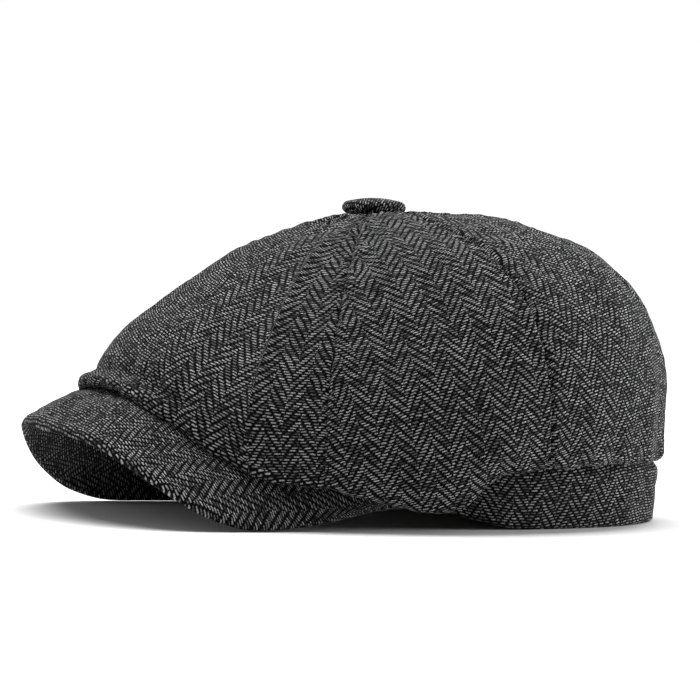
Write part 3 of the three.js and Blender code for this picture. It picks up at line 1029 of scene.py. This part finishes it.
def add_camera():
    """A camera whose picture holds the aimed point at the aimed pixel, at the photograph's scale."""
    right, up, toward = camera_axes()
    aim = Vector(AXIS_TO_FRAME) * MM + Vector((0, 0, AIM_HEIGHT))
    aim = aim - right * ((AIM_PIXEL[0] - IMAGE_SIZE / 2) / PIXELS_PER_METRE)
    aim = aim + up * ((AIM_PIXEL[1] - IMAGE_SIZE / 2) / PIXELS_PER_METRE)
    lens = bpy.data.cameras.new("camera")
    lens.sensor_width = SENSOR
    lens.lens = PIXELS_PER_METRE * CAMERA_DISTANCE / IMAGE_SIZE * SENSOR
    lens.clip_end = 20
    camera = bpy.data.objects.new("camera", lens)
    turned = Matrix((right, up, toward)).transposed().to_4x4()
    camera.matrix_world = Matrix.Translation(aim + toward * CAMERA_DISTANCE) @ turned
    bpy.context.scene.collection.objects.link(camera)
    bpy.context.scene.camera = camera


# Table and light, in metres

# The sweep runs along the camera's line of sight, from near the camera to far behind the cap,
# where it bends up.
SWEEP_NEAR = 3.2
SWEEP_FAR = -2.6
SWEEP_BEND = 1.2
SWEEP_BEND_STEPS = 16
SWEEP_HEIGHT = 4.0
SWEEP_HALF_WIDTH = 5.0

CAP_MIDDLE = (0, 0, 0.05)
BACKDROP_MIDDLE = (-3.2, 1.2, 0.6)
LIGHTS = [
    dict(name="softbox_above", place=(-0.3, -0.05, 1.5), size=2.0, power=54, target=CAP_MIDDLE),
    dict(name="softbox_front", place=(0.1, -1.4, 0.7), size=1.0, power=2, target=CAP_MIDDLE),
    dict(name="softbox_back", place=(0.3, 1.1, 0.2), size=0.7, power=14, target=CAP_MIDDLE),
    dict(name="backdrop_light", place=(-1.5, 0.55, 1.8), size=1.0, power=45, target=BACKDROP_MIDDLE),
]
ROOM_LIGHT = 0.34


def sweep_line():
    """The sweep's section: how far towards the camera and how high each point lies."""
    line = [(SWEEP_NEAR, 0.0), (SWEEP_FAR, 0.0)]
    for step in range(1, SWEEP_BEND_STEPS + 1):
        turn = math.pi / 2 * step / SWEEP_BEND_STEPS
        line.append((SWEEP_FAR - SWEEP_BEND * math.sin(turn), SWEEP_BEND * (1 - math.cos(turn))))
    line.append((SWEEP_FAR - SWEEP_BEND, SWEEP_HEIGHT))
    return line


def add_sweep():
    """A white paper sweep: flat under the cap and curved up behind it."""
    _, _, toward = camera_axes()
    ahead = Vector((toward.x, toward.y, 0)).normalized()
    side = Vector((-ahead.y, ahead.x, 0))
    line = sweep_line()
    points = [ahead * run + side * across + Vector((0, 0, rise))
              for run, rise in line for across in (-SWEEP_HALF_WIDTH, SWEEP_HALF_WIDTH)]
    faces = [(2 * k, 2 * k + 2, 2 * k + 3, 2 * k + 1) for k in range(len(line) - 1)]
    mesh = bpy.data.meshes.new("paper_sweep")
    mesh.from_pydata(points, [], faces)
    mesh.polygons.foreach_set("use_smooth", [True] * len(faces))
    mesh.materials.append(paper())
    sweep = bpy.data.objects.new("paper_sweep", mesh)
    bpy.context.scene.collection.objects.link(sweep)


def add_light(name, place, size, power, target):
    lamp = bpy.data.lights.new(name, "AREA")
    lamp.shape = "DISK"
    lamp.size = size
    lamp.energy = power
    light = bpy.data.objects.new(name, lamp)
    light.location = place
    aim = Vector(target) - Vector(place)
    light.rotation_euler = aim.to_track_quat("-Z", "Y").to_euler()
    bpy.context.scene.collection.objects.link(light)


def add_studio():
    add_sweep()
    for light in LIGHTS:
        add_light(**light)
    world = bpy.data.worlds.new("studio")
    world.use_nodes = True
    background = world.node_tree.nodes["Background"]
    background.inputs["Color"].default_value = (1, 1, 1, 1)
    background.inputs["Strength"].default_value = ROOM_LIGHT
    bpy.context.scene.world = world
    bpy.context.scene.view_settings.view_transform = "Standard"


add_camera()
add_studio()
cloth = tweed()
make_band(cloth)
peak_tree = faces_tree(make_peak(cloth))
for panel_number in range(PANEL_COUNT):
    make_panel(panel_number, cloth, peak_tree)
make_button(cloth)
